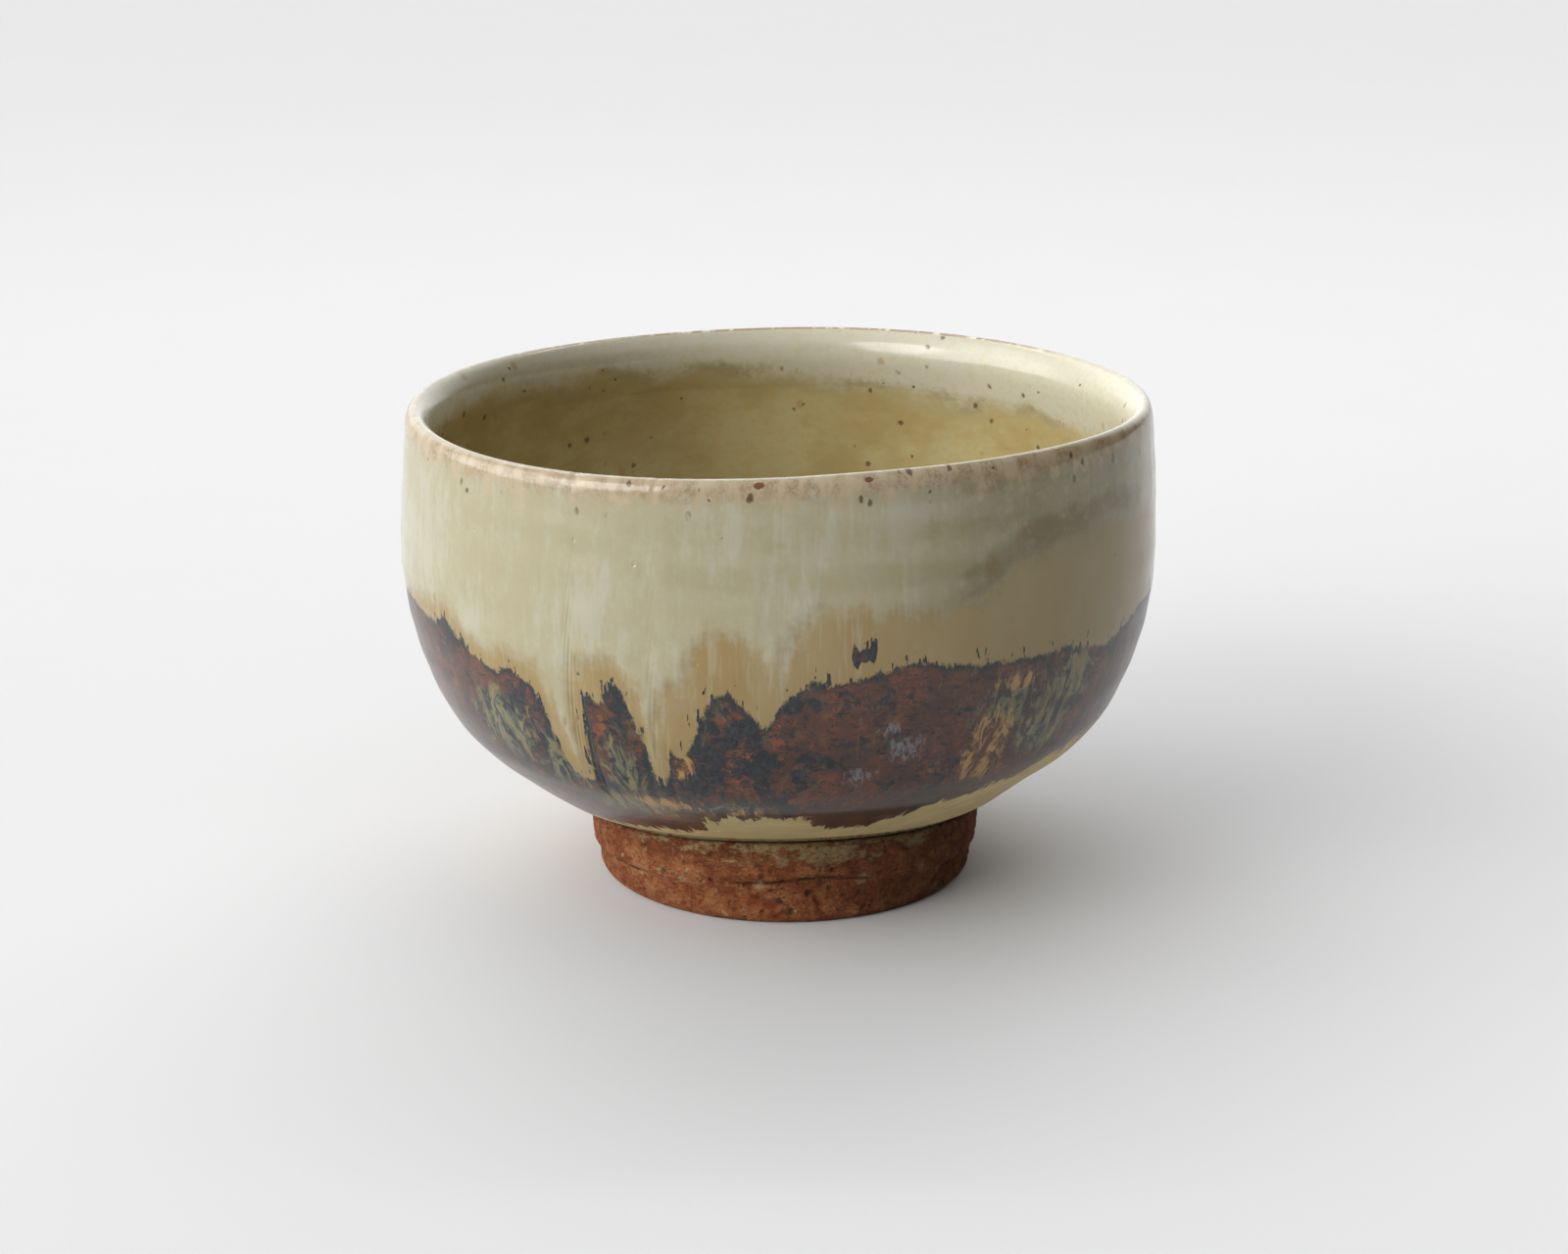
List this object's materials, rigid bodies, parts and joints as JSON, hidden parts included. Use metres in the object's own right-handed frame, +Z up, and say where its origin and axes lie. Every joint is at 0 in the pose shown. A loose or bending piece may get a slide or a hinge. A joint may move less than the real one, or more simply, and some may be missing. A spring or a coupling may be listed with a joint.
{
  "type": "matcha bowl",
  "caption": "Round hand-thrown tea bowl with upright walls and a rounded lip, on a short bare foot ring, glazed inside and out.",
  "frame": {"origin": "on the surface the foot stands on, under the middle of the bowl", "axes": "+Z up through the bowl's mouth, -Y towards the side with the long glaze runs"},
  "size_m": [0.1216, 0.1189, 0.08],
  "materials": {
    "stoneware_clay": "matte",
    "foot_clay": "matte",
    "olive_glaze": "gloss",
    "pale_ash_glaze": "gloss",
    "ochre_ash_glaze": "gloss",
    "iron_glaze": "gloss",
    "buff_glaze": "satin"
  },
  "bodies": {
    "root": {"clay_bowl": "stoneware_clay", "foot_ring": "foot_clay", "inner_glaze": "olive_glaze", "pale_rim_glaze": "pale_ash_glaze", "ochre_glaze": "ochre_ash_glaze", "iron_glaze": "iron_glaze", "skirt_glaze": "buff_glaze"}
  },
  "joints": []
}
